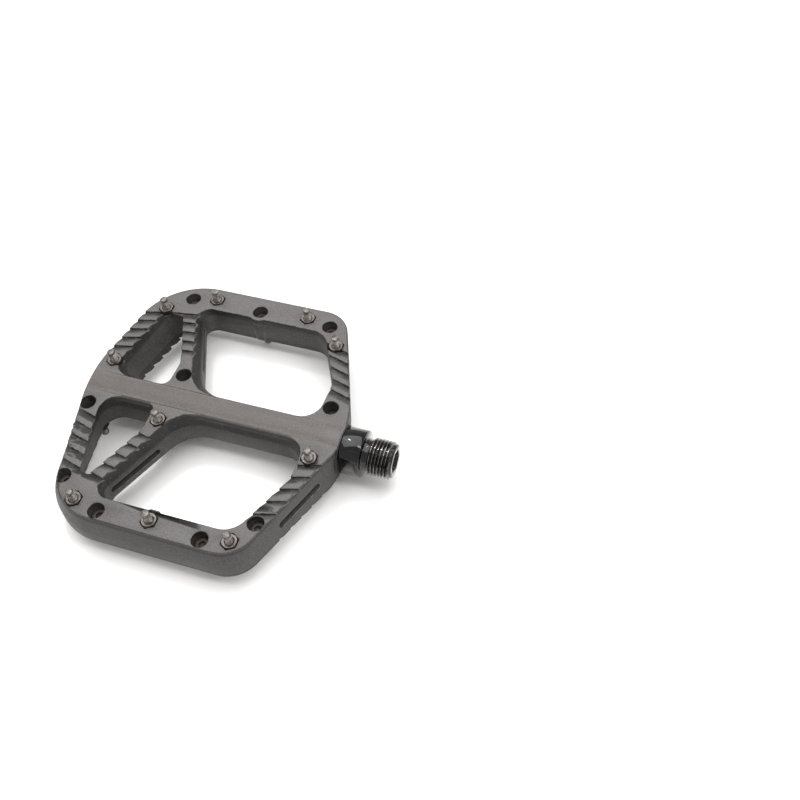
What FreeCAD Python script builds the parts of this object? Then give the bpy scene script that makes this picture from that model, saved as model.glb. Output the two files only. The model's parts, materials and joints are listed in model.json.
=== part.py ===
import FreeCAD, Part
import math
import os
from FreeCAD import Vector

# Left-hand flat pedal, millimetres.
# X runs along the spindle from the crank outwards, Z is up, so +Y points to the rear of the bicycle.
# The origin is on the spindle's axis, in the face that seats against the crank arm.
# The platform is the same either way up: half a turn about X maps its upper half on its lower half.
# "lead" is the front of the upper face, at -Y, and "trail" is its rear, at +Y.

LEAD = -1
TRAIL = 1
clear = 200.0                 # well past the platform, for shapes that only cut

# ---- platform, in plan -------------------------------------------------------------------------
platform_depth = 114.8        # fore-and-aft, over the ridges of both rails
boss_x = 8.6                  # the inboard end of the barrel
nose_x = 116.4                # where the two outboard edges would meet
strut_foot_x = 12.9           # outer edge of an inboard strut, 20 mm off the axis
strut_slope = 0.385           # how far it runs outboard for each mm away from the axis
outboard_slope = 0.22         # how far the outboard edge runs back inboard
inboard_corner_r = 12.5
outboard_corner_r = 27.0
nose_r = 60.0
slope_from = 20.0             # distance off the axis at which foot positions are given
bend_off = 13.0               # distance off the axis where a strut turns into the barrel's boss
bend_r = 6.0
boss_half_width = 8.0         # at the ridge
boss_face_half_width = 7.0    # on the upper face
boss_corner_r = 1.5

# ---- platform, in height -----------------------------------------------------------------------
roof_z = 7.95                 # half the thickness beside the barrel's crown
roof_fall = 0.026             # how much the face drops for each mm away from the crown
level_z = roof_z + 0.05       # the level at which the face's outlines are given
crease_z = level_z / 2        # where the windows' walls turn from a bevel to a straight wall
crown_r = roof_z + 0.75       # radius of the barrel's rounded top
collar_r = crown_r + 0.45     # radius of its thicker inboard end
collar_end_x = 16.4
crown_end_x = 112.0
crown_sink = 0.25             # how deep the crown's sides reach below the roof
edge_r = 0.7                  # rounding of the face's outer edges

# ---- how far the face's outline stands in from the ridge, at level_z ----------------------------
rail_inset = {LEAD: 0.2, TRAIL: 3.2}
strut_inset = {LEAD: -0.5, TRAIL: 1.3}
outboard_inset = {LEAD: 0.8, TRAIL: 3.7}
outboard_turn = {LEAD: -0.06, TRAIL: 0.052}
face_corner_r = {LEAD: 25.5, TRAIL: 19.0}

# ---- windows ------------------------------------------------------------------------------------
barrel_half = 4.5             # half the barrel's flat top, between the windows
rail_inner = 46.1             # inner edge of the front and rear rails, off the axis
window_in_x = 20.4            # inboard end of the large window, beside the barrel
window_foot_x = {LEAD: 18.6, TRAIL: 20.0}   # inner edge of an inboard strut, 20 mm off the axis
window_slope = {LEAD: 0.52, TRAIL: 0.455}
window_mid_foot_x = 20.1
window_mid_slope = 0.488
window_mid_in_x = 20.8
brace_foot_x = 78.6           # inboard edge of a diagonal brace, 20 mm off the axis
brace_slope = 0.437
brace_width = 4.7             # along X
small_bend_y = 16.2           # where the brace's outboard edge leaves its foot
small_end_y = {LEAD: 40.3, TRAIL: 38.3}
small_mid_end_y = 39.0
small_right_x = {LEAD: 104.5, TRAIL: 100.3}
small_right_slope = {LEAD: 0.16, TRAIL: 0.27}
small_right_mid_x = 101.9
small_right_mid_slope = 0.21

# corner radii of the windows on the face, in the order of their corners
large_corners_r = (8.0, 10.0, 9.0, 5.5, 14.0)
small_corners_r = (3.5, 8.0, 2.4, 2.4, 7.0)
brace_corner_loss = 1.0       # the corner of brace and rail is this much tighter at each step down

# bevel of each window's wall: how far the wall stands into the window at crease_z and at mid height
barrel_bevel = (2.25, 2.5)
rail_bevel = (0.5, 0.7)
brace_bevel = (2.9, 3.2)
brace_back_bevel = (0.3, 0.4)

# ---- slots through the struts and braces ---------------------------------------------------------
slot_height = 3.0
slot_reach = 18.0             # length of the cut, across the strut or brace
strut_slot = (15.5, 35.5)     # from and to, off the axis
brace_slot = (17.0, 38.0)

# ---- saw-tooth grooves ---------------------------------------------------------------------------
# Each row: the first groove's distance off the axis, the pitch, the skew, and the member's middle
# as a foot position and a slope. The steep wall faces the rear, and the ramp climbs rearwards from it.
groove_depth = 1.1
groove_ramp = 2.9
groove_count = 5
groove_reach = 13.0
groove_overrun = 0.5          # past the ends of its section, so that nothing is left standing
strut_rows = {LEAD: (18.6, 5.35, 15.5), TRAIL: (13.4, 5.7, 15.5)}
brace_rows = {LEAD: (22.7, 4.6, -8.0), TRAIL: (18.4, 5.0, -11.0)}
outboard_rows = {LEAD: (18.2, 5.0, -13.0), TRAIL: (15.0, 5.35, -14.0)}

# ---- pins and nuts -------------------------------------------------------------------------------
# Each entry puts a pin at (x, off) on one side of the axis, tip up. The same pin turned over stands
# tip down on the other side, so the head of one shows as a hole on the upper face.
lead_pins = [(100.6, 41.7), (81.8, 51.2), (41.6, 51.4), (25.5, 40.5), (107.7, 10.6)]
trail_pins = [(91.9, 49.2), (61.8, 49.6), (31.4, 49.3), (16.95, 11.4), (77.65, 10.9)]
pin_length = 12.0             # under the head
pin_r = 1.5
pin_chamfer = 0.35
head_chamfer = 0.25
head_r = 2.75
head_height = 3.0
socket_af = 2.5
socket_depth = 1.4
pin_stand = 5.2               # tip above the face
nut_af = 5.5
nut_height = 2.4
nut_proud = 0.5
nut_turn = 30.0
nut_face_r = 2.6              # the flat ring on a nut's top
nut_chamfer = 0.35
nut_countersink = 0.35
pocket_gap = 0.15             # all round the nut
head_gap = 0.3                # all round the head
shank_gap = 0.1
thread_gap = 0.02

# ---- bump behind the nut in the middle of each rail ----------------------------------------------
bump_reach = 1.0
bump_foot = 5.5               # along X, at the wall
bump_top = 3.5
bump_sink = 1.5               # how far it reaches into the rail
bump_below_roof = 1.7
boss_wall = 1.7               # round the middle hole of each rail
boss_from_z = 3.2

# ---- spindle -------------------------------------------------------------------------------------
thread_r = 14.28 / 2          # 9/16 in by 20 threads per inch, over the crests
thread_length = 11.5          # from the crank's seat to the end
thread_chamfer = 0.9
relief_r = 6.1
relief_length = 2.3
seat_r = 17.8 / 2
seat_length = 7.8
seat_chamfer = 0.3
flat_af = 15.0
flat_from_x = 1.7
key_af = 8.0
key_depth = 7.0
bush_journal_r = 5.8
cone_end_x = 30.0
waist_r = 4.55
bearing_journal_r = 4.0
end_thread_r = 3.0
end_x = 102.5
end_chamfer = 0.5
journal_short = 0.3           # the bearing seat ends this far inside the outer bearing's face
cone_before = 0.5             # the taper starts this far inside the bushing
collar_overlap = 1.0          # of the bushing journal into the collar

# ---- bearings ------------------------------------------------------------------------------------
bearing_r = 6.0
bearing_width = 3.5
bearing_x = (82.0, 92.0)      # inboard face of each
ring_space = bearing_r - bearing_journal_r
ball_r = 0.3 * ring_space
ball_count = 12
race_wall = 0.31 * ring_space
ball_gap = 0.02
shield_thickness = 0.15
shield_inset = 0.15
shield_gap = 0.08
cage_half_wall = 0.15
cage_half_width = ball_r + 0.25
ball_pocket_gap = 0.05

# ---- bushing, seal, end parts --------------------------------------------------------------------
bore_r = 6.0
shoulder_r = 5.4
shoulder_length = 4.0
bush_r = 6.8
bush_in_x = 11.0
bush_length = 11.6
running_gap = 0.03
seal_r = 8.0
seal_lip_r = 9.1
seal_lip = 0.5
seal_gap = 0.15
spacer_wall = 0.5
fit_gap = 0.02
washer_thickness = 0.8
washer_r = 4.9
lock_nut_af = 9.0
lock_nut_height = 4.5
cap_r = 6.5
cap_in_x = 109.6
cap_length = 3.6
cap_key_af = 5.0
cap_key_depth = 2.2
ring_r = 0.5
ring_squeeze_gap = 0.04
ring_groove_gap = 0.1


def rounded_loop(corners, z):
    """A closed wire at height z through corners (x, y, radius), each rounded to its own radius."""
    count = len(corners)
    starts = []
    mids = []
    ends = []
    for i in range(count):
        x, y, r = corners[i]
        px, py, _ = corners[i - 1]
        nx, ny, _ = corners[(i + 1) % count]
        here = Vector(x, y, z)
        back = (Vector(px, py, z) - here).normalize()
        on = (Vector(nx, ny, z) - here).normalize()
        half = back.getAngle(on) / 2
        reach = r / math.tan(half)
        middle = (back + on).normalize()
        starts.append(here + back * reach)
        mids.append(here + middle * (r / math.sin(half) - r))
        ends.append(here + on * reach)
    edges = []
    for i in range(count):
        edges.append(Part.Arc(starts[i], mids[i], ends[i]).toShape())
        edges.append(Part.LineSegment(ends[i], starts[(i + 1) % count]).toShape())
    return Part.Wire(edges)


def edge_x(foot, slope, off):
    return foot + slope * (off - slope_from)


def outboard_edge(side, on_face):
    """Foot and slope of the outboard edge on one side, at the ridge or on the face."""
    foot = nose_x - outboard_slope * slope_from
    slope = -outboard_slope
    if on_face:
        foot -= outboard_inset[side] + outboard_turn[side] * (slope_from - bend_off)
        slope -= outboard_turn[side]
    return foot, slope


def outer_corners(on_face):
    """The platform's outline: at the ridge, or on the upper face."""
    corners = []
    for side in (TRAIL, LEAD):
        rail_y = platform_depth / 2
        foot = strut_foot_x
        corner_r = outboard_corner_r
        boss_half = boss_half_width
        if on_face:
            rail_y -= rail_inset[side]
            foot += strut_inset[side]
            corner_r = face_corner_r[side]
            boss_half = boss_face_half_width
        out_foot, out_slope = outboard_edge(side, on_face)
        run = [
            (boss_x, boss_half, boss_corner_r),
            (edge_x(foot, strut_slope, bend_off), bend_off, bend_r),
            (edge_x(foot, strut_slope, rail_y), rail_y, inboard_corner_r),
            (edge_x(out_foot, out_slope, rail_y), rail_y, corner_r),
        ]
        if side == LEAD:
            run.reverse()
        corners += [(x, side * off, r) for x, off, r in run]
        if side == TRAIL:
            corners.append(nose_corner(on_face))
    return corners


def nose_corner(on_face):
    """The outboard point, where the edges of both sides meet."""
    lead_foot, lead_slope = outboard_edge(LEAD, on_face)
    trail_foot, trail_slope = outboard_edge(TRAIL, on_face)
    lead_at = edge_x(lead_foot, lead_slope, 0)
    trail_at = edge_x(trail_foot, trail_slope, 0)
    y = (lead_at - trail_at) / (trail_slope + lead_slope)
    return trail_at + trail_slope * y, y, nose_r


def mid_share(step):
    """How much of the way from its face outline to its mid outline a window's wall has come."""
    return (0.0, (level_z - crease_z) / level_z, 1.0)[step]


def blend(at_face, at_mid, step):
    return at_face + mid_share(step) * (at_mid - at_face)


def large_window(side, step):
    """Corners of a large window: step 0 is the face, 1 the crease and 2 mid height."""
    barrel_in, rail_in, brace_in = [(0.0, *bevel)[step] for bevel in (barrel_bevel, rail_bevel, brace_bevel)]
    barrel_y = barrel_half + barrel_in
    rail_y = rail_inner - rail_in
    foot = blend(window_foot_x[side], window_mid_foot_x, step)
    slope = blend(window_slope[side], window_mid_slope, step)
    start_x = blend(window_in_x, window_mid_in_x, step)
    turn_off = slope_from + (start_x - foot) / slope
    brace = brace_foot_x - brace_in * math.hypot(1, brace_slope)
    run = [
        (start_x, barrel_y),
        (start_x, turn_off),
        (edge_x(foot, slope, rail_y), rail_y),
        (edge_x(brace, brace_slope, rail_y), rail_y),
        (edge_x(brace, brace_slope, barrel_y), barrel_y),
    ]
    radii = list(large_corners_r)
    radii[3] -= step * brace_corner_loss
    return [(x, side * off, r) for (x, off), r in zip(run, radii)]


def small_window(side, step):
    """Corners of a small window: step 0 is the face, 1 the crease and 2 mid height."""
    barrel_in, back_in = [(0.0, *bevel)[step] for bevel in (barrel_bevel, brace_back_bevel)]
    right = blend(small_right_x[side], small_right_mid_x, step)
    right_slope = blend(small_right_slope[side], small_right_mid_slope, step)
    end_y = blend(small_end_y[side], small_mid_end_y, step)
    barrel_y = barrel_half + barrel_in
    left = brace_foot_x + brace_width + back_in
    start_x = edge_x(left, brace_slope, small_bend_y)
    run = [
        (start_x, barrel_y),
        (start_x, small_bend_y),
        (edge_x(left, brace_slope, end_y), end_y),
        (edge_x(right, -right_slope, end_y), end_y),
        (edge_x(right, -right_slope, barrel_y), barrel_y),
    ]
    return [(x, side * off, r) for (x, off), r in zip(run, small_corners_r)]


def ruled(loops):
    """A solid with straight walls from each closed loop to the next."""
    return Part.makeLoft(loops, True, True)


def window_solid(corners_at):
    """The space of a window, from mid height to past the face."""
    face = rounded_loop(corners_at(0), level_z)
    crease = rounded_loop(corners_at(1), crease_z)
    middle = rounded_loop(corners_at(2), 0.0)
    return ruled([middle, crease, face])


def turned_over(shape):
    """The same piece after half a turn about the spindle's axis."""
    copy = shape.copy()
    copy.rotate(Vector(0, 0, 0), Vector(1, 0, 0), 180)
    return copy


def roof_cut():
    """Everything above the face: level over the barrel, then falling to both rails."""
    far = platform_depth
    low = roof_z - roof_fall * (far - barrel_half)
    points = [
        (-far, low),
        (-barrel_half, roof_z),
        (barrel_half, roof_z),
        (far, low),
        (far, clear),
        (-far, clear),
    ]
    wire = Part.makePolygon([Vector(0, y, z) for y, z in points + points[:1]])
    return Part.Face(wire).extrude(Vector(clear, 0, 0))


def boss():
    """Thickens the front rail's inner wall round its middle hole."""
    x, off = trail_pins[1]
    r = head_r + head_gap + boss_wall
    return Part.makeCylinder(r, level_z - boss_from_z, Vector(x, LEAD * off, boss_from_z))


def rounded_edges(half):
    """Rounds the outer edge of the upper face."""
    chosen = []
    for edge in half.Edges:
        middle = edge.valueAt((edge.FirstParameter + edge.LastParameter) / 2)
        on_face = abs(middle.z - face_z(middle.y)) < level_z - roof_z
        if on_face and abs(middle.y) > barrel_half:
            chosen.append(edge)
    return half.makeFillet(edge_r, chosen)


def half_body():
    """The platform's upper half, from mid height up, before its holes."""
    ridge = rounded_loop(outer_corners(False), 0.0)
    face = rounded_loop(outer_corners(True), level_z)
    half = ruled([ridge, face])
    half = half.cut(roof_cut())
    half = rounded_edges(half)
    for side in (LEAD, TRAIL):
        half = half.cut(window_solid(lambda step: large_window(side, step)))
        half = half.cut(window_solid(lambda step: small_window(side, step)))
    half = half.fuse([bump(), boss().cut(roof_cut())])
    half = half.fuse([
        crown(crown_r, collar_end_x, crown_end_x),
        crown(collar_r, boss_x, collar_end_x),
    ])
    return half


def crown(radius, from_x, to_x):
    """The rounded top of the barrel, standing above the roof beside it."""
    half_width = math.sqrt(radius ** 2 - (roof_z - crown_sink) ** 2)
    rod = Part.makeCylinder(radius, to_x - from_x, Vector(from_x, 0, 0), Vector(1, 0, 0))
    keep = Part.makeBox(to_x - from_x, 2 * half_width, radius, Vector(from_x, -half_width, 0))
    return rod.common(keep)


def face_z(y):
    """Height of the upper face at a distance off the axis."""
    return roof_z - roof_fall * max(abs(y) - barrel_half, 0)


def groove(x, y, angle_deg):
    """One saw-tooth groove: steep wall at y, ramp rising towards +Y."""
    run_out = groove_ramp * (1 + groove_overrun / groove_depth)
    points = [
        (0, -groove_depth),
        (run_out, groove_overrun),
        (0, groove_overrun),
    ]
    reach = groove_reach / 2
    wire = Part.makePolygon([Vector(-reach, dy, dz) for dy, dz in points + points[:1]])
    solid = Part.Face(wire).extrude(Vector(groove_reach, 0, 0))
    solid.rotate(Vector(0, 0, 0), Vector(0, 0, 1), angle_deg)
    solid.translate(Vector(x, y, face_z(y)))
    return solid


def groove_row(side, row, middle_foot, middle_slope):
    first, pitch, skew = row
    cuts = []
    for i in range(groove_count):
        off = first + i * pitch
        x = edge_x(middle_foot, middle_slope, off)
        cuts.append(groove(x, side * off, side * skew))
    return cuts


def grooves():
    strut_mid = (strut_foot_x + window_mid_foot_x) / 2
    strut_lean = (strut_slope + window_mid_slope) / 2
    brace_mid = brace_foot_x + brace_width / 2
    cuts = []
    for side in (LEAD, TRAIL):
        out_foot, out_slope = outboard_edge(side, True)
        out_mid = (out_foot + edge_x(small_right_x[side], -small_right_slope[side], slope_from)) / 2
        cuts += groove_row(side, strut_rows[side], strut_mid, strut_lean)
        cuts += groove_row(side, brace_rows[side], brace_mid, brace_slope)
        cuts += groove_row(side, outboard_rows[side], out_mid, (out_slope - small_right_slope[side]) / 2)
    return cuts


def slot(side, foot, slope, from_off, to_off):
    """A long hole with round ends through a strut or brace, at mid height."""
    lean = math.degrees(math.atan(slope))
    length = (to_off - from_off) * math.hypot(1, slope) - slot_height
    reach = slot_reach / 2
    r = slot_height / 2
    body = Part.makeBox(slot_reach, length, slot_height, Vector(-reach, -length / 2, -r))
    for end in (-length / 2, length / 2):
        body = body.fuse(Part.makeCylinder(r, slot_reach, Vector(-reach, end, 0), Vector(1, 0, 0)))
    body.rotate(Vector(0, 0, 0), Vector(0, 0, 1), -side * lean)
    middle_off = (from_off + to_off) / 2
    body.translate(Vector(edge_x(foot, slope, middle_off), side * middle_off, 0))
    return body


def slots():
    strut_mid = (strut_foot_x + window_mid_foot_x) / 2
    brace_mid = brace_foot_x + brace_width / 2
    cuts = []
    for side in (LEAD, TRAIL):
        cuts.append(slot(side, strut_mid, strut_slope, *strut_slot))
        cuts.append(slot(side, brace_mid, brace_slope, *brace_slot))
    return cuts


def hexagon(af, height, base, axis, turn_deg=0.0):
    """A six-sided prism, af across its flats, standing on base along axis."""
    r = af / 2 / math.cos(math.pi / 6)
    corners = []
    for i in range(7):
        a = math.radians(60 * i + turn_deg)
        corners.append(Vector(r * math.cos(a), r * math.sin(a), 0))
    solid = Part.Face(Part.makePolygon(corners)).extrude(Vector(0, 0, height))
    solid.Placement = FreeCAD.Placement(base, FreeCAD.Rotation(Vector(0, 0, 1), axis))
    return solid


def pin_places():
    """Where the pins that point up stand, as (x, y)."""
    return [(x, LEAD * off) for x, off in lead_pins] + [(x, TRAIL * off) for x, off in trail_pins]


def pin_space(x, y):
    """What one upward pin and its nut take out of the platform."""
    up = Vector(0, 0, 1)
    tip = face_z(y) + pin_stand
    seat = tip - pin_length
    floor = face_z(y) + nut_proud - nut_height
    shank = Part.makeCylinder(pin_r + shank_gap, pin_length, Vector(x, y, seat), up)
    well = Part.makeCylinder(head_r + head_gap, roof_z + seat, Vector(x, y, -roof_z), up)
    pocket = hexagon(nut_af + 2 * pocket_gap, pin_length, Vector(x, y, floor), up, nut_turn)
    return shank.fuse([well, pocket])


def lathe(profile, base):
    """A solid turned about a vertical axis from (height, radius) points, standing on base."""
    points = [Vector(r, 0, h) for h, r in profile]
    points = [Vector(0, 0, profile[0][0])] + points + [Vector(0, 0, profile[-1][0])]
    wire = Part.makePolygon(points + points[:1])
    solid = Part.Face(wire).revolve(Vector(0, 0, 0), Vector(0, 0, 1), 360)
    solid.translate(base)
    return solid


def pin(x, y):
    """A socket-head screw, tip up."""
    bottom = Vector(x, y, face_z(y) + pin_stand - pin_length - head_height)
    top = head_height + pin_length
    body = lathe([
        (0.0, head_r - head_chamfer),
        (head_chamfer, head_r),
        (head_height, head_r),
        (head_height, pin_r),
        (top - pin_chamfer, pin_r),
        (top, pin_r - pin_chamfer),
    ], bottom)
    return body.cut(hexagon(socket_af, socket_depth, bottom, Vector(0, 0, 1)))


def nut(x, y):
    base = Vector(x, y, face_z(y) + nut_proud - nut_height)
    corner_r = nut_af / 2 / math.cos(math.pi / 6)
    body = hexagon(nut_af, nut_height, base, Vector(0, 0, 1), nut_turn)
    body = body.common(lathe([
        (0.0, nut_face_r),
        (nut_chamfer, corner_r),
        (nut_height - nut_chamfer, corner_r),
        (nut_height, nut_face_r),
    ], base))
    hole_r = pin_r + thread_gap
    return body.cut(lathe([
        (0.0, hole_r),
        (nut_height - nut_countersink, hole_r),
        (nut_height, hole_r + nut_countersink),
    ], base))


def bump():
    """Thickens the rear rail's inner wall behind its middle nut."""
    x, off = trail_pins[1]
    wall = rail_inner + bump_sink
    face = rail_inner - bump_reach
    spread = bump_sink / bump_reach * (bump_foot - bump_top) / 2
    points = [
        (x - bump_foot / 2 - spread, wall),
        (x - bump_top / 2, face),
        (x + bump_top / 2, face),
        (x + bump_foot / 2 + spread, wall),
    ]
    wire = Part.makePolygon([Vector(px, TRAIL * py, 0) for px, py in points + points[:1]])
    return Part.Face(wire).extrude(Vector(0, 0, roof_z - bump_below_roof))


def turned(profile):
    """A solid turned about the X axis from (x, radius) points, closed along the axis."""
    points = [Vector(x, 0, r) for x, r in profile]
    points = [Vector(profile[0][0], 0, 0)] + points + [Vector(profile[-1][0], 0, 0)]
    wire = Part.makePolygon(points + points[:1])
    return Part.Face(wire).revolve(Vector(0, 0, 0), Vector(1, 0, 0), 360)


def sleeve(from_x, to_x, inner_r, outer_r):
    axis = Vector(1, 0, 0)
    outside = Part.makeCylinder(outer_r, to_x - from_x, Vector(from_x, 0, 0), axis)
    return outside.cut(Part.makeCylinder(inner_r, to_x - from_x, Vector(from_x, 0, 0), axis))


def bore_space():
    """Everything the spindle, the bearings and the plug need inside the barrel."""
    shoulder_in = bearing_x[0] - shoulder_length
    return turned([
        (0.0, seal_r),
        (bush_in_x, seal_r),
        (bush_in_x, bush_r),
        (bush_in_x + bush_length, bush_r),
        (bush_in_x + bush_length, bore_r),
        (shoulder_in, bore_r),
        (shoulder_in, shoulder_r),
        (bearing_x[0], shoulder_r),
        (bearing_x[0], bearing_r),
        (cap_in_x, bearing_r),
        (cap_in_x, cap_r),
        (nose_x, cap_r),
    ])


def platform_body():
    upper = half_body()
    whole = upper.fuse(turned_over(upper)).removeSplitter()
    cuts = grooves()
    cuts += [turned_over(cut) for cut in cuts]
    for x, y in pin_places():
        space = pin_space(x, y)
        cuts.append(space)
        cuts.append(turned_over(space))
    cuts += slots()
    cuts.append(bore_space())
    return whole.cut(cuts)


def spindle():
    shoulder_x = bearing_x[0]
    journal_end = bearing_x[1] + bearing_width - journal_short
    body = turned([
        (-thread_length, thread_r - thread_chamfer),
        (-thread_length + thread_chamfer, thread_r),
        (-relief_length, thread_r),
        (-relief_length, relief_r),
        (0.0, relief_r),
        (0.0, seat_r - seat_chamfer),
        (seat_chamfer, seat_r),
        (seat_length, seat_r),
        (seat_length, bush_journal_r),
        (bush_in_x + bush_length - cone_before, bush_journal_r),
        (cone_end_x, waist_r),
        (shoulder_x, waist_r),
        (shoulder_x, bearing_journal_r),
        (journal_end, bearing_journal_r),
        (journal_end, end_thread_r),
        (end_x - end_chamfer, end_thread_r),
        (end_x, end_thread_r - end_chamfer),
    ])
    side = seat_r
    for sign in (-1, 1):
        y = flat_af / 2 if sign > 0 else -flat_af / 2 - side
        body = body.cut(Part.makeBox(seat_length - flat_from_x, side, 4 * side,
                                     Vector(flat_from_x, y, -2 * side)))
    journal_root = Vector(seat_length - collar_overlap, 0, 0)
    body = body.fuse(Part.makeCylinder(bush_journal_r, 2 * collar_overlap, journal_root, Vector(1, 0, 0)))
    return body.cut(hexagon(key_af, key_depth, Vector(-thread_length, 0, 0), Vector(1, 0, 0)))


def ball_circle_r():
    return (bearing_journal_r + bearing_r) / 2


def race_groove(start_x):
    middle = Vector(start_x + bearing_width / 2, 0, 0)
    return Part.makeTorus(ball_circle_r(), ball_r + ball_gap, middle, Vector(1, 0, 0))


def outer_race(start_x):
    end_x_here = start_x + bearing_width
    ring = sleeve(start_x, end_x_here, bearing_r - race_wall, bearing_r)
    return ring.cut(race_groove(start_x))


def inner_race(start_x):
    end_x_here = start_x + bearing_width
    ring = sleeve(start_x, end_x_here, bearing_journal_r, bearing_journal_r + race_wall)
    return ring.cut(race_groove(start_x))


def ball_centres(start_x):
    for i in range(ball_count):
        a = 2 * math.pi * i / ball_count
        r = ball_circle_r()
        yield Vector(start_x + bearing_width / 2, r * math.cos(a), r * math.sin(a))


def balls(start_x):
    return [Part.makeSphere(ball_r, centre) for centre in ball_centres(start_x)]


def cage(start_x):
    middle = start_x + bearing_width / 2
    r = ball_circle_r()
    ring = sleeve(middle - cage_half_width, middle + cage_half_width, r - cage_half_wall, r + cage_half_wall)
    return ring.cut([Part.makeSphere(ball_r + ball_pocket_gap, c) for c in ball_centres(start_x)])


def shield(start_x, outboard):
    x = start_x + shield_inset
    if outboard:
        x = start_x + bearing_width - shield_inset - shield_thickness
    return sleeve(x, x + shield_thickness, bearing_journal_r + race_wall + shield_gap, bearing_r - race_wall)


def inboard_seal():
    inner_r = bush_journal_r + seal_gap
    ring = sleeve(boss_x, bush_in_x, inner_r, seal_r)
    return ring.fuse(sleeve(boss_x - seal_lip, boss_x, inner_r, seal_lip_r)).removeSplitter()


def inboard_bushing():
    return sleeve(bush_in_x, bush_in_x + bush_length, bush_journal_r + running_gap, bush_r)


def bearing_spacer():
    inner_r = bearing_journal_r + fit_gap
    return sleeve(bearing_x[0] + bearing_width, bearing_x[1], inner_r, inner_r + spacer_wall)


def end_washer():
    x = bearing_x[1] + bearing_width
    return sleeve(x, x + washer_thickness, end_thread_r + shank_gap, bearing_journal_r + race_wall)


def lock_nut():
    x = bearing_x[1] + bearing_width + washer_thickness
    body = hexagon(lock_nut_af, lock_nut_height, Vector(x, 0, 0), Vector(1, 0, 0))
    return body.cut(Part.makeCylinder(end_thread_r + thread_gap, lock_nut_height, Vector(x, 0, 0),
                                      Vector(1, 0, 0)))


def ring_circle_r():
    return cap_r - ring_squeeze_gap - ring_r


def end_cap():
    axis = Vector(1, 0, 0)
    body = Part.makeCylinder(cap_r, cap_length, Vector(cap_in_x, 0, 0), axis)
    half = ring_r + ring_groove_gap
    middle = cap_in_x + cap_length / 2
    body = body.cut(sleeve(middle - half, middle + half, ring_circle_r() - half, cap_r))
    out_x = cap_in_x + cap_length
    return body.cut(hexagon(cap_key_af, cap_key_depth, Vector(out_x - cap_key_depth, 0, 0), axis))


def end_cap_ring():
    return Part.makeTorus(ring_circle_r(), ring_r, Vector(cap_in_x + cap_length / 2, 0, 0), Vector(1, 0, 0))


def save(name, shape):
    if isinstance(shape, list):
        shape = Part.makeCompound(shape)
    shape.exportStep(f"parts/{name}.step")


def main():
    os.makedirs("parts", exist_ok=True)
    save("platform_body", platform_body())
    save("spindle", spindle())
    save("inboard_seal", inboard_seal())
    save("inboard_bushing", inboard_bushing())
    for number, start_x in enumerate(bearing_x, 1):
        save(f"bearing_{number}_outer_race", outer_race(start_x))
        save(f"bearing_{number}_inner_race", inner_race(start_x))
        save(f"bearing_{number}_balls", balls(start_x))
        save(f"bearing_{number}_cage", cage(start_x))
        save(f"bearing_{number}_inboard_shield", shield(start_x, False))
        save(f"bearing_{number}_outboard_shield", shield(start_x, True))
    save("bearing_spacer", bearing_spacer())
    save("end_washer", end_washer())
    save("lock_nut", lock_nut())
    save("end_cap", end_cap())
    save("end_cap_ring", end_cap_ring())
    upper_pins = [pin(x, y) for x, y in pin_places()]
    upper_nuts = [nut(x, y) for x, y in pin_places()]
    save("pins_upper", upper_pins)
    save("nuts_upper", upper_nuts)
    save("pins_lower", [turned_over(piece) for piece in upper_pins])
    save("nuts_lower", [turned_over(piece) for piece in upper_nuts])


main()
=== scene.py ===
import json
import math

import bmesh
import bpy
from mathutils import Matrix, Vector, noise


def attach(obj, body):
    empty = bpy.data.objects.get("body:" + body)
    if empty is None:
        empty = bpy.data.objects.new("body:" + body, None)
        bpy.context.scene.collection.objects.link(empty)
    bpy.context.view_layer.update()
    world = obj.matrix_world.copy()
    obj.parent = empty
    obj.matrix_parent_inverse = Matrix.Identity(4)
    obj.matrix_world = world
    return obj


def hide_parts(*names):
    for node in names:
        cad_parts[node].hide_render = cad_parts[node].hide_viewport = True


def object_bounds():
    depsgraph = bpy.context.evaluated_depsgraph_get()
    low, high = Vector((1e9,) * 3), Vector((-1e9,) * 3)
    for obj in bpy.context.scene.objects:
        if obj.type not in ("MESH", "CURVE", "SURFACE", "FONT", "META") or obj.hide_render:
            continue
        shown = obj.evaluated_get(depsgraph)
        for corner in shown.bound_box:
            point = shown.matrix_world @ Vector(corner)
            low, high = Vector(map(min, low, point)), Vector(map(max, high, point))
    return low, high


MM = 0.001

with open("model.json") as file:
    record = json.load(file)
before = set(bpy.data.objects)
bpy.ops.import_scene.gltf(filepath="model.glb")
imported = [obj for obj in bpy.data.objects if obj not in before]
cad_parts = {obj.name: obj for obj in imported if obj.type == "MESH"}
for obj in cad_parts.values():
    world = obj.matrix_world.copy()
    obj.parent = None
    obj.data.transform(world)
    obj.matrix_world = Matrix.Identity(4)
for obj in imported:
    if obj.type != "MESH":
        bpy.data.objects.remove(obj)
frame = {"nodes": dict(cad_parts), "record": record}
cad_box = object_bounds()
nodes = frame["nodes"]

# ---- camera, floor and light -------------------------------------------------------------------
LENS_MM = 38.6
CAMERA_AT = Vector((-75.65, 153.55, 265.86)) * MM
CAMERA_AIM = Vector((-6.60, -22.27, 6.76)) * MM
CAMERA_ROLL_DEG = -4.97


def add_camera():
    data = bpy.data.cameras.new("camera")
    data.lens = LENS_MM
    data.sensor_width = 36.0
    data.clip_start = 0.005
    camera = bpy.data.objects.new("camera", data)
    bpy.context.scene.collection.objects.link(camera)
    turn = (CAMERA_AIM - CAMERA_AT).to_track_quat("-Z", "Y").to_matrix().to_4x4()
    roll = Matrix.Rotation(math.radians(CAMERA_ROLL_DEG), 4, "Z")
    camera.matrix_world = Matrix.Translation(CAMERA_AT) @ turn @ roll
    bpy.context.scene.camera = camera


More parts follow.
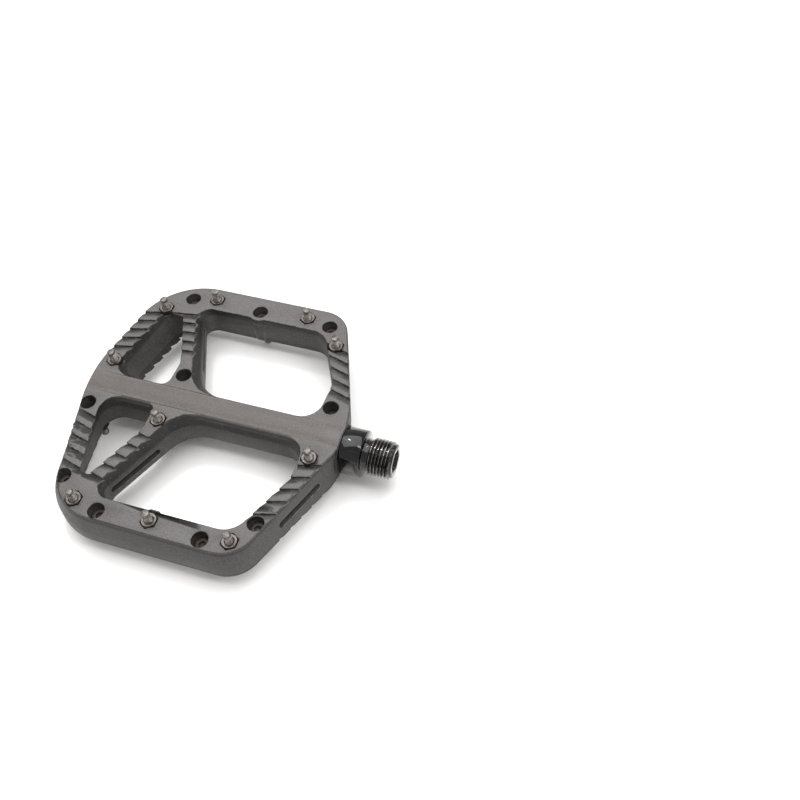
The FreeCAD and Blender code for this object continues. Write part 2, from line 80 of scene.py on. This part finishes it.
def add_area(name, at, aim, size, power, colour=(1, 1, 1)):
    data = bpy.data.lights.new(name, "AREA")
    data.shape = "RECTANGLE"
    data.size, data.size_y = size
    data.energy = power
    data.color = colour
    light = bpy.data.objects.new(name, data)
    bpy.context.scene.collection.objects.link(light)
    turn = (Vector(aim) - Vector(at)).to_track_quat("-Z", "Y").to_matrix().to_4x4()
    light.matrix_world = Matrix.Translation(Vector(at)) @ turn


def add_sky():
    world = bpy.data.worlds.new("studio")
    world.use_nodes = True
    background = world.node_tree.nodes["Background"]
    background.inputs["Color"].default_value = (1.0, 0.995, 0.985, 1)
    background.inputs["Strength"].default_value = 0.72
    bpy.context.scene.world = world
    bpy.context.scene.view_settings.view_transform = "Standard"


# ---- shader nodes ------------------------------------------------------------------------------
class Graph:
    """Adds nodes to a node tree and links them."""

    def __init__(self, tree):
        self.tree = tree

    def add(self, kind, inputs=None, **settings):
        made = self.tree.nodes.new(kind)
        for key, value in settings.items():
            setattr(made, key, value)
        for key, value in (inputs or {}).items():
            if isinstance(value, bpy.types.NodeSocket):
                self.tree.links.new(value, made.inputs[key])
            else:
                made.inputs[key].default_value = value
        return made

    def sum(self, operation, a, b=0.0, clamp=False):
        made = self.add("ShaderNodeMath", {0: a, 1: b}, operation=operation, use_clamp=clamp)
        return made.outputs[0]

    def ramp(self, value, low, high, to_low=0.0, to_high=1.0):
        made = self.add(
            "ShaderNodeMapRange",
            {"Value": value, "From Min": low, "From Max": high, "To Min": to_low, "To Max": to_high},
        )
        return made.outputs["Result"]

    def mix(self, factor, a, b):
        made = self.add("ShaderNodeMix", {0: factor, 6: a, 7: b}, data_type="RGBA")
        return made.outputs[2]

    def noise(self, where, scale, detail=3.0, rough=0.5):
        made = self.add(
            "ShaderNodeTexNoise",
            {"Vector": where, "Scale": scale, "Detail": detail, "Roughness": rough},
        )
        return made.outputs["Fac"]


def new_group(name, inputs, outputs):
    group = bpy.data.node_groups.new(name, "ShaderNodeTree")
    for label, kind, value in inputs:
        socket = group.interface.new_socket(label, in_out="INPUT", socket_type=kind)
        socket.default_value = value
    for label, kind in outputs:
        group.interface.new_socket(label, in_out="OUTPUT", socket_type=kind)
    return group


def grain_group():
    """Fine grain, blotches, pale specks and scratches over a surface, with rubbed edges."""
    colour, number = "NodeSocketColor", "NodeSocketFloat"
    group = new_group(
        "grain_and_wear",
        [
            ("Colour", colour, (0.1, 0.1, 0.1, 1)),
            ("Worn Colour", colour, (0.2, 0.2, 0.2, 1)),
            ("Speck Colour", colour, (0.4, 0.38, 0.36, 1)),
            ("Grain Scale", number, 1800.0),
            ("Blotch Scale", number, 60.0),
            ("Blotches", number, 0.3),
            ("Grain", number, 0.3),
            ("Specks", number, 0.2),
            ("Scratches", number, 0.3),
            ("Edge Wear", number, 0.6),
            ("Roughness", number, 0.5),
            ("Roughness Spread", number, 0.2),
        ],
        [("Colour", colour), ("Roughness", number), ("Height", number)],
    )
    g = Graph(group)
    given = g.add("NodeGroupInput").outputs
    where = g.add("ShaderNodeTexCoord").outputs["Object"]
    edge = g.add("ShaderNodeAttribute", attribute_name="edge").outputs["Fac"]

    grain = g.noise(where, given["Grain Scale"], 3.0, 0.6)
    blotch = g.noise(where, given["Blotch Scale"], 4.0, 0.55)
    blotch = g.ramp(blotch, 0.35, 0.68)

    dots = g.add("ShaderNodeTexVoronoi", {"Vector": where, "Scale": g.sum("MULTIPLY", given["Grain Scale"], 0.45)})
    dot = g.ramp(dots.outputs["Distance"], 0.10, 0.20, 1.0, 0.0)
    chosen = g.add("ShaderNodeSeparateColor", {"Color": dots.outputs["Color"]}).outputs["Red"]
    dot = g.sum("MULTIPLY", dot, g.ramp(chosen, 0.80, 0.84))
    dot = g.sum("MULTIPLY", dot, given["Specks"], True)

    lines = None
    for turn, stretch in ((0.5, 14.0), (-0.9, 18.0)):
        along = g.add(
            "ShaderNodeMapping",
            {"Vector": where, "Rotation": (0.0, 0.0, turn), "Scale": (1.0, stretch, 1.0)},
        ).outputs["Vector"]
        line = g.ramp(g.noise(along, 90.0, 2.0, 0.5), 0.66, 0.74)
        lines = line if lines is None else g.sum("MAXIMUM", lines, line)
    lines = g.sum("MULTIPLY", lines, given["Scratches"], True)

    broken = g.ramp(g.noise(where, 420.0, 3.0, 0.6), 0.38, 0.60)
    rubbed = g.sum("MULTIPLY", g.sum("MULTIPLY", edge, broken), given["Edge Wear"])
    worn = g.sum("ADD", g.sum("MULTIPLY", blotch, given["Blotches"]), rubbed)
    worn = g.sum("ADD", worn, lines, True)

    tone = g.mix(worn, given["Colour"], given["Worn Colour"])
    shade = g.ramp(grain, 0.3, 0.7, -1.0, 1.0)
    shade = g.sum("ADD", g.sum("MULTIPLY", shade, given["Grain"]), 1.0)
    tone = g.add("ShaderNodeVectorMath", {0: tone, "Scale": shade}, operation="SCALE").outputs["Vector"]
    tone = g.mix(dot, tone, given["Speck Colour"])

    rough = g.sum("SUBTRACT", g.sum("ADD", blotch, grain), 1.0)
    rough = g.sum("MULTIPLY", rough, given["Roughness Spread"])
    rough = g.sum("ADD", rough, given["Roughness"], True)
    height = g.sum("SUBTRACT", grain, g.sum("MULTIPLY", lines, 0.6))

    g.add("NodeGroupOutput", {"Colour": tone, "Roughness": rough, "Height": height})
    return group


def trodden_group():
    """How much a spot lies on one of the platform's two treads, which shoes rub pale."""
    number = "NodeSocketFloat"
    group = new_group("trodden_faces", [("Spread", number, 0.25)], [("Trodden", number)])
    g = Graph(group)
    given = g.add("NodeGroupInput").outputs
    space = g.add("ShaderNodeTexCoord").outputs
    up = g.add("ShaderNodeSeparateXYZ", {"Vector": space["Normal"]}).outputs["Z"]
    level = g.ramp(g.sum("ABSOLUTE", up), 0.955, 0.985)
    high = g.add("ShaderNodeSeparateXYZ", {"Vector": space["Object"]}).outputs["Z"]
    high = g.ramp(g.sum("ABSOLUTE", high), 0.0045, 0.0062)
    patchy = g.ramp(g.noise(space["Object"], 35.0, 3.0, 0.5), 0.35, 0.65, -1.0, 1.0)
    patchy = g.sum("ADD", g.sum("MULTIPLY", patchy, given["Spread"]), 1.0)
    whole = g.sum("MULTIPLY", g.sum("MULTIPLY", level, high), patchy, True)
    g.add("NodeGroupOutput", {"Trodden": whole})
    return group


GRAIN = grain_group()
TRODDEN = trodden_group()


def grey(value, warm=0.0):
    return (value * (1 + warm), value, value * (1 - warm), 1)


def finish(name, colour, worn, grain, metal=0.0, bump=0.1, coat=0.0, bump_mm=0.05, specular=0.5):
    """A material whose colour, roughness and height come from the grain group."""
    material = bpy.data.materials.new(name)
    material.use_nodes = True
    g = Graph(material.node_tree)
    shader = material.node_tree.nodes["Principled BSDF"]
    made = g.add("ShaderNodeGroup", node_tree=GRAIN)
    made.inputs["Colour"].default_value = colour
    made.inputs["Worn Colour"].default_value = worn
    for key, value in grain.items():
        made.inputs[key].default_value = value
    link = material.node_tree.links.new
    link(made.outputs["Colour"], shader.inputs["Base Color"])
    link(made.outputs["Roughness"], shader.inputs["Roughness"])
    raised = g.add(
        "ShaderNodeBump",
        {"Strength": bump, "Distance": bump_mm * MM, "Height": made.outputs["Height"]},
    )
    link(raised.outputs["Normal"], shader.inputs["Normal"])
    shader.inputs["Metallic"].default_value = metal
    shader.inputs["Coat Weight"].default_value = coat
    shader.inputs["Specular IOR Level"].default_value = specular
    return material


NYLON_DARK = (0.043, 0.040, 0.039, 1)
NYLON_TRODDEN = (0.091, 0.085, 0.083, 1)
NYLON_RUBBED = (0.20, 0.19, 0.185, 1)
# The colour below is painted shade, for the windows' upper walls and the grooves' valleys.
NYLON_PAINTED_SHADE = (0.010, 0.0095, 0.0095, 1)
BARREL_WARM = (0.107, 0.094, 0.087, 1)


def worn_nylon():
    """Moulded black nylon gone grey, paler where trodden, with painted shade on window bevels and groove floors.
    """
    material = finish(
        "worn_nylon",
        NYLON_DARK,
        NYLON_RUBBED,
        {
            "Grain Scale": 2300.0,
            "Blotch Scale": 55.0,
            "Blotches": 0.10,
            "Specks": 0.35,
            "Scratches": 0.10,
            "Edge Wear": 0.5,
            "Roughness": 0.56,
            "Roughness Spread": 0.16,
        },
        bump=0.35,
        specular=0.4,
    )
    g = Graph(material.node_tree)
    made = next(n for n in material.node_tree.nodes if n.type == "GROUP")
    trodden = g.add("ShaderNodeGroup", {"Spread": 0.18}, node_tree=TRODDEN).outputs["Trodden"]
    where = g.add("ShaderNodeTexCoord").outputs["Object"]
    apart = g.add("ShaderNodeSeparateXYZ", {"Vector": where}).outputs
    beside = g.sum("ABSOLUTE", apart["Y"])
    high = g.sum("ABSOLUTE", apart["Z"])

    along = g.add("ShaderNodeMapping", {"Vector": where, "Scale": (0.12, 1.0, 1.0)}).outputs["Vector"]
    streaks = g.ramp(g.noise(along, 260.0, 3.0, 0.55), 0.35, 0.68, 0.35, 1.0)
    on_barrel = g.sum("MULTIPLY", g.ramp(beside, 0.0062, 0.0052), g.ramp(high, 0.0058, 0.0068))
    barrel = g.sum("MULTIPLY", on_barrel, streaks)
    pale = g.sum("MAXIMUM", trodden, on_barrel)

    past_strut = g.sum("SUBTRACT", apart["X"], g.sum("MULTIPLY", beside, 0.436))
    past_strut = g.ramp(past_strut, 0.0074, 0.0082)
    before_edge = g.sum("ADD", apart["X"], g.sum("MULTIPLY", beside, 0.215))
    before_edge = g.ramp(before_edge, 0.1118, 0.1108)
    inside = g.sum("MULTIPLY", g.sum("MULTIPLY", past_strut, before_edge), g.ramp(beside, 0.0505, 0.0495))
    # Painted shade: the windows' walls near the faces are darkened toward the shade colour.
    bevel = g.sum("MULTIPLY", inside, g.ramp(high, 0.0036, 0.0044))
    bevel = g.sum("MULTIPLY", bevel, 0.85)

    # Painted shade in the grooves' valleys: the deeper a spot lies below the face, the darker it is.
    face_high = g.sum("MULTIPLY", g.sum("SUBTRACT", beside, 0.0045), -0.026)
    below = g.sum("SUBTRACT", g.sum("ADD", face_high, 0.00795), high)
    groove_shade = g.sum("MULTIPLY", g.ramp(below, 0.00012, 0.00095, 0.0, 0.9), g.ramp(below, 0.0016, 0.0013))

    wall_shaded = g.mix(bevel, NYLON_DARK, NYLON_PAINTED_SHADE)
    tone = g.mix(pale, wall_shaded, g.mix(barrel, NYLON_TRODDEN, BARREL_WARM))
    tone = g.mix(groove_shade, tone, NYLON_PAINTED_SHADE)
    link = material.node_tree.links.new
    link(tone, made.inputs["Colour"])
    link(g.ramp(pale, 0.0, 1.0, 0.55, 0.30), made.inputs["Grain"])
    return material


# ---- mesh helpers ------------------------------------------------------------------------------
def copy_of(node_name):
    """A merged bmesh of a CAD node, ready to be reworked."""
    bm = bmesh.new()
    bm.from_mesh(nodes[node_name].data)
    bmesh.ops.remove_doubles(bm, verts=bm.verts, dist=2e-6)
    bmesh.ops.dissolve_degenerate(bm, edges=bm.edges, dist=2e-6)
    return bm


def sharp_edges(bm, degrees, among=None):
    limit = math.radians(degrees)
    picked = among if among is not None else bm.edges
    return [e for e in picked if len(e.link_faces) == 2 and e.calc_face_angle(0.0) > limit]


def without_splinters(edges, degrees=28):
    """Leaves out edges that meet another at a very acute corner, where rounding would throw a spike."""
    picked = set(edges)
    limit = math.radians(degrees)
    dropped = set()
    for vert in {v for e in edges for v in e.verts}:
        here = [(e, e.other_vert(vert).co - vert.co) for e in vert.link_edges if e in picked]
        for i, (edge, way) in enumerate(here):
            for other, other_way in here[i + 1:]:
                if way.angle(other_way, math.pi) < limit:
                    dropped |= {edge, other}
    return [e for e in edges if e not in dropped and e.calc_length() > 0.02 * MM]


def soften(bm, edges, width, segments=2):
    """Rounds edges and marks the new faces, so that the finish can rub them."""
    made = bmesh.ops.bevel(
        bm, geom=without_splinters(edges), offset=width, offset_type="OFFSET", affect="EDGES", segments=segments,
        profile=0.5, material=-1, clamp_overlap=False,
    )
    mark = bm.loops.layers.float.get("edge") or bm.loops.layers.float.new("edge")
    for face in made["faces"]:
        for loop in face.loops:
            loop[mark] = 1.0


def islands(bm):
    """The separate solids of a bmesh, each as a list of its vertices."""
    left = set(bm.verts)
    found = []
    while left:
        stack = [left.pop()]
        part = list(stack)
        while stack:
            vert = stack.pop()
            for edge in vert.link_edges:
                other = edge.other_vert(vert)
                if other in left:
                    left.remove(other)
                    part.append(other)
                    stack.append(other)
        found.append(part)
    return found


def piece_from(bm, name, node_name, body, material, smooth_deg=32):
    mesh = bpy.data.meshes.new(name)
    bm.to_mesh(mesh)
    bm.free()
    mesh.polygons.foreach_set("use_smooth", [True] * len(mesh.polygons))
    mesh.set_sharp_from_angle(angle=math.radians(smooth_deg))
    obj = bpy.data.objects.new(name, mesh)
    bpy.context.scene.collection.objects.link(obj)
    mesh.materials.append(material)
    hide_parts(node_name)
    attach(obj, body)
    return obj


def thread_mesh(start, pitch, depth, crest_r, turns, steps, turn):
    """One ridge of thread wound round X, from start; turn is 1 right-handed and -1 left-handed."""
    root = crest_r - depth * 1.15
    flat = pitch * 0.10
    corners = [
        (0.02 * pitch, root),
        (pitch * 0.5 - flat, crest_r),
        (pitch * 0.5 + flat, crest_r),
        (0.98 * pitch, root),
    ]
    bm = bmesh.new()
    verts = [bm.verts.new((start + along, 0, r)) for along, r in corners]
    face = bm.faces.new(verts)
    bmesh.ops.spin(
        bm, geom=[face, *face.edges, *verts], cent=(0, 0, 0), axis=(1, 0, 0),
        dvec=(pitch / steps, 0, 0), angle=turn * 2 * math.pi * turns, steps=int(steps * turns),
        use_merge=False,
    )
    bmesh.ops.recalc_face_normals(bm, faces=bm.faces)
    mark = bm.loops.layers.float.new("edge")
    for vert in bm.verts:
        radius = math.hypot(vert.co.y, vert.co.z)
        for loop in vert.link_loops:
            loop[mark] = 1.0 if radius > crest_r - 0.1 * depth else 0.0
    mesh = bpy.data.meshes.new("thread_ridge")
    bm.to_mesh(mesh)
    bm.free()
    return mesh


def stamp(bm, mesh, place):
    """Adds a copy of a mesh, moved by a matrix, to a bmesh."""
    moved = mesh.copy()
    moved.transform(place)
    bm.from_mesh(moved)
    bpy.data.meshes.remove(moved)


# ---- platform ----------------------------------------------------------------------------------
EDGE_ROUND = 0.22 * MM
NOISE_SEED = 7
# where the outboard rear corner was knocked: centre, half size, cell, how far it moves, grain
DAMAGE = [
    ((103.5, 44.0, 6.3), (4.5, 4.5, 3.0), 0.8, 0.60, 1700.0),
    ((105.0, 27.0, 6.8), (6.0, 10.0, 2.0), 0.9, 0.45, 1300.0),
]


def roughen(bm, centre, reach, cell, amount, seed):
    """Cuts the skin round a point into small cells and knocks them about, as wear does."""
    low = centre - Vector(reach)
    high = centre + Vector(reach)
    near = [f for f in bm.faces if touches(f, low, high)]
    geom = list({*near, *(e for f in near for e in f.edges), *(v for f in near for v in f.verts)})
    for axis in range(3):
        plane_no = Vector([1.0 if i == axis else 0.0 for i in range(3)])
        for step in range(int(2 * reach[axis] / cell) + 1):
            plane_co = low.copy()
            plane_co[axis] += step * cell
            geom = bmesh.ops.bisect_plane(
                bm, geom=geom, dist=1e-7, plane_co=plane_co, plane_no=plane_no)["geom"]
    bm.normal_update()
    for vert in bm.verts:
        away = vert.co - centre
        share = max(abs(away[i]) / reach[i] for i in range(3))
        if share < 1.0:
            push = noise.noise_vector(vert.co * seed) * amount * (1 - share ** 3)
            push -= Vector(vert.normal) * abs(noise.noise(vert.co * seed * 0.37)) * amount * (1 - share ** 3)
            vert.co += push


def touches(face, low, high):
    return all(
        min(v.co[i] for v in face.verts) <= high[i] and max(v.co[i] for v in face.verts) >= low[i]
        for i in range(3)
    )


def build_platform(material):
    bm = copy_of("platform_body")
    noise.seed_set(NOISE_SEED)
    soften(bm, sharp_edges(bm, 38), EDGE_ROUND)
    for centre, reach, cell, amount, seed in DAMAGE:
        roughen(bm, Vector(centre) * MM, [r * MM for r in reach], cell * MM, amount * MM, seed)
    return piece_from(bm, "platform_shell", "platform_body", "platform", material, 40)


# ---- spindle -----------------------------------------------------------------------------------
THREAD_PITCH = 1.27 * MM
THREAD_DEPTH = 0.72 * MM
THREAD_R = 7.14 * MM
NECK_END_X = -2.0 * MM


def build_spindle(material):
    bm = copy_of("spindle")
    end_x = min(v.co.x for v in bm.verts)
    core_r = THREAD_R - THREAD_DEPTH
    for vert in bm.verts:
        radius = math.hypot(vert.co.y, vert.co.z)
        if vert.co.x < NECK_END_X + 0.01 * MM and radius > core_r:
            vert.co.y *= core_r / radius
            vert.co.z *= core_r / radius
    soften(bm, sharp_edges(bm, 50), 0.12 * MM)
    chamfer = 1.0 * MM
    ridge_from = end_x + 0.1 * MM
    turns = (NECK_END_X - ridge_from) / THREAD_PITCH - 1.0
    thread = thread_mesh(ridge_from, THREAD_PITCH, THREAD_DEPTH, THREAD_R, turns, 64, -1)
    for vert in thread.vertices:
        radius = math.hypot(vert.co.y, vert.co.z)
        limit = min(THREAD_R, THREAD_R - chamfer + (vert.co.x - end_x))
        if radius > limit:
            vert.co.y *= limit / radius
            vert.co.z *= limit / radius
    stamp(bm, thread, Matrix.Identity(4))
    return piece_from(bm, "spindle_shaft", "spindle", "spindle_body", material, 35)


# ---- pins and nuts -----------------------------------------------------------------------------
PIN_PITCH = 0.5 * MM
PIN_DEPTH = 0.22 * MM
PIN_R = 1.5 * MM
TIP_LENGTH = 0.9 * MM
PIN_TURNS = 9.0
HEAD_HEIGHT = 3.1 * MM


def build_pins(side_name, up, material):
    bm = copy_of(f"pins_{side_name}")
    thread = thread_mesh(
        -(PIN_TURNS + 1) * PIN_PITCH, PIN_PITCH, PIN_DEPTH, PIN_R, PIN_TURNS, 20, 1)
    bm.loops.layers.float.new("edge")
    dark_mark = bm.loops.layers.float.new("corner")
    along_z = Matrix.Rotation(-up * math.pi / 2, 4, "Y")
    places = []
    for part in islands(bm):
        low = min(v.co.z * up for v in part)
        for loop in (loop for v in part for loop in v.link_loops):
            loop[dark_mark] = 1.0 if loop.vert.co.z * up < low + HEAD_HEIGHT else 0.0
        tip = max(v.co.z * up for v in part)
        centre_x = (min(v.co.x for v in part) + max(v.co.x for v in part)) / 2
        centre_y = (min(v.co.y for v in part) + max(v.co.y for v in part)) / 2
        for drop in (TIP_LENGTH, TIP_LENGTH + 0.12 * MM):
            geom = {*part, *(e for v in part for e in v.link_edges), *(f for v in part for f in v.link_faces)}
            cut = bmesh.ops.bisect_plane(
                bm, geom=list(geom), dist=1e-7, plane_co=(0, 0, (tip - drop) * up), plane_no=(0, 0, 1),
            )
            part += [g for g in cut["geom_cut"] if isinstance(g, bmesh.types.BMVert)]
        core = PIN_R - PIN_DEPTH
        for vert in part:
            off = Vector((vert.co.x - centre_x, vert.co.y - centre_y))
            below = vert.co.z * up < tip - TIP_LENGTH - 0.06 * MM
            if below and PIN_R - 0.05 * MM < off.length < PIN_R + 0.05 * MM:
                vert.co.x = centre_x + off.x * core / off.length
                vert.co.y = centre_y + off.y * core / off.length
        soften(bm, sharp_edges(bm, 40, {e for v in part for e in v.link_edges}), 0.05 * MM, 1)
        top = tip - TIP_LENGTH + 0.25 * MM
        places.append(Matrix.Translation((centre_x, centre_y, top * up)) @ along_z)
    for place in places:
        stamp(bm, thread, place)
    name = f"studs_{side_name}"
    return piece_from(bm, name, f"pins_{side_name}", "platform", material, 35)


def build_nuts(side_name, material):
    bm = copy_of(f"nuts_{side_name}")
    soften(bm, sharp_edges(bm, 25), 0.07 * MM)
    dark_mark = bm.loops.layers.float.new("corner")
    for part in islands(bm):
        centre_x = (min(v.co.x for v in part) + max(v.co.x for v in part)) / 2
        centre_y = (min(v.co.y for v in part) + max(v.co.y for v in part)) / 2
        for face in {f for v in part for f in v.link_faces}:
            middle = face.calc_center_median()
            far = math.hypot(middle.x - centre_x, middle.y - centre_y) > 2.62 * MM
            for loop in face.loops:
                loop[dark_mark] = 1.0 if far else 0.0
    name = f"stud_nuts_{side_name}"
    return piece_from(bm, name, f"nuts_{side_name}", "platform", material, 30)


# ---- materials of the small parts --------------------------------------------------------------
def black_oxide():
    return finish(
        "black_oxide_steel", (0.005, 0.005, 0.0055, 1), (0.20, 0.19, 0.18, 1),
        {"Grain Scale": 2600.0, "Blotch Scale": 160.0, "Blotches": 0.06, "Grain": 0.25, "Specks": 0.12,
         "Scratches": 0.15, "Edge Wear": 0.65, "Roughness": 0.12, "Roughness Spread": 0.08},
        metal=0.9, bump=0.03, bump_mm=0.03, coat=0.55,
    )


def darken_marked(material, dark_colour, amount):
    """Darkens the parts of a surface that are marked in its corner attribute."""
    g = Graph(material.node_tree)
    made = next(n for n in material.node_tree.nodes if n.type == "GROUP")
    shader = material.node_tree.nodes["Principled BSDF"]
    where = g.add("ShaderNodeTexCoord").outputs["Object"]
    patchy = g.ramp(g.noise(where, 900.0, 3.0, 0.6), 0.30, 0.55, 0.75, 1.0)
    corner = g.add("ShaderNodeAttribute", attribute_name="corner").outputs["Fac"]
    darkened = g.sum("MULTIPLY", g.sum("MULTIPLY", corner, amount), patchy)
    tone = g.mix(darkened, made.outputs["Colour"], dark_colour)
    rough = g.add("ShaderNodeMix", {0: darkened, 2: made.outputs["Roughness"], 3: 0.75}).outputs[0]
    material.node_tree.links.new(tone, shader.inputs["Base Color"])
    material.node_tree.links.new(rough, shader.inputs["Roughness"])
    return material


def stud_steel():
    material = finish(
        "stud_steel", (0.065, 0.056, 0.051, 1), (0.42, 0.39, 0.37, 1),
        {"Grain Scale": 3800.0, "Blotch Scale": 700.0, "Blotches": 0.4, "Grain": 0.35, "Specks": 0.3,
         "Scratches": 0.3, "Edge Wear": 0.7, "Roughness": 0.44, "Roughness Spread": 0.25},
        metal=0.7, bump=0.25, bump_mm=0.03,
    )
    return darken_marked(material, (0.055, 0.036, 0.026, 1), 0.85)


def nut_steel():
    """A rubbed ring, darker beyond it, out to the corners of the hex."""
    material = finish(
        "nut_steel", (0.075, 0.062, 0.055, 1), (0.42, 0.37, 0.33, 1),
        {"Grain Scale": 3200.0, "Blotch Scale": 500.0, "Blotches": 0.3, "Grain": 0.35, "Specks": 0.25,
         "Scratches": 0.2, "Edge Wear": 0.6, "Roughness": 0.42, "Roughness Spread": 0.25},
        metal=0.7, bump=0.25, bump_mm=0.03,
    )
    return darken_marked(material, (0.014, 0.011, 0.010, 1), 0.95)


def inner_finishes():
    """Finishes of the parts inside the barrel."""
    fine = {"Grain Scale": 4200.0, "Blotch Scale": 240.0, "Blotches": 0.2, "Grain": 0.12, "Specks": 0.0,
            "Scratches": 0.25, "Edge Wear": 0.4, "Roughness": 0.24, "Roughness Spread": 0.12}
    dull = {"Grain Scale": 2600.0, "Blotch Scale": 120.0, "Blotches": 0.25, "Grain": 0.25, "Specks": 0.15,
            "Scratches": 0.1, "Edge Wear": 0.4, "Roughness": 0.58, "Roughness Spread": 0.18}
    return {
        "bearing_steel": finish("ground_steel", grey(0.60), grey(0.75), fine, metal=1.0, bump=0.04),
        "small_steel": finish("turned_steel", grey(0.48), grey(0.66), fine, metal=1.0, bump=0.08),
        "seal_rubber": finish("seal_rubber", grey(0.016), grey(0.05), dull, bump=0.2),
        "bushing_plastic": finish(
            "bushing_plastic", (0.52, 0.43, 0.22, 1), (0.62, 0.55, 0.34, 1), dull, bump=0.1),
        "cage_brass": finish("cage_brass", (0.62, 0.44, 0.17, 1), (0.75, 0.58, 0.30, 1), fine, metal=1.0),
        "cap_plastic": finish("cap_plastic", grey(0.045), grey(0.10), dull, bump=0.15),
    }


def table_top():
    material = bpy.data.materials.new("pale_table")
    material.use_nodes = True
    shader = material.node_tree.nodes["Principled BSDF"]
    shader.inputs["Base Color"].default_value = (0.93, 0.925, 0.92, 1)
    shader.inputs["Roughness"].default_value = 0.55
    return material


def add_floor():
    low = cad_box[0]
    bm = bmesh.new()
    bmesh.ops.create_grid(bm, x_segments=1, y_segments=1, size=3.0)
    bmesh.ops.translate(bm, verts=bm.verts, vec=(0.05, 0, low.z))
    mesh = bpy.data.meshes.new("floor")
    bm.to_mesh(mesh)
    bm.free()
    floor = bpy.data.objects.new("floor", mesh)
    bpy.context.scene.collection.objects.link(floor)
    mesh.materials.append(table_top())


# ---- the scene ---------------------------------------------------------------------------------
add_camera()
add_floor()
add_sky()
add_area("overhead", (0.14, -0.30, 1.0), (0.03, 0, 0), (1.3, 1.1), 13.0)
for lamp in range(4):
    add_area(f"lamp_{lamp}", (0.225 + 0.014 * lamp, -0.33, 0.85), (0, 0, 0), (0.005, 0.09), 0.30)
add_area("window", (-0.55, 0.05, 0.75), (0.0, 0, 0), (0.12, 0.6), 2.2)

steel = black_oxide()
studs = stud_steel()
nuts = nut_steel()
build_platform(worn_nylon())
build_spindle(steel)
for side_name, up in (("upper", 1), ("lower", -1)):
    build_pins(side_name, up, studs)
    build_nuts(side_name, nuts)

slots = {row["node"]: row["material_slot"] for row in frame["record"]["subparts"]}
finishes = inner_finishes()
for name, node in nodes.items():
    if slots.get(name) in finishes:
        node.data.materials.clear()
        node.data.materials.append(finishes[slots[name]])
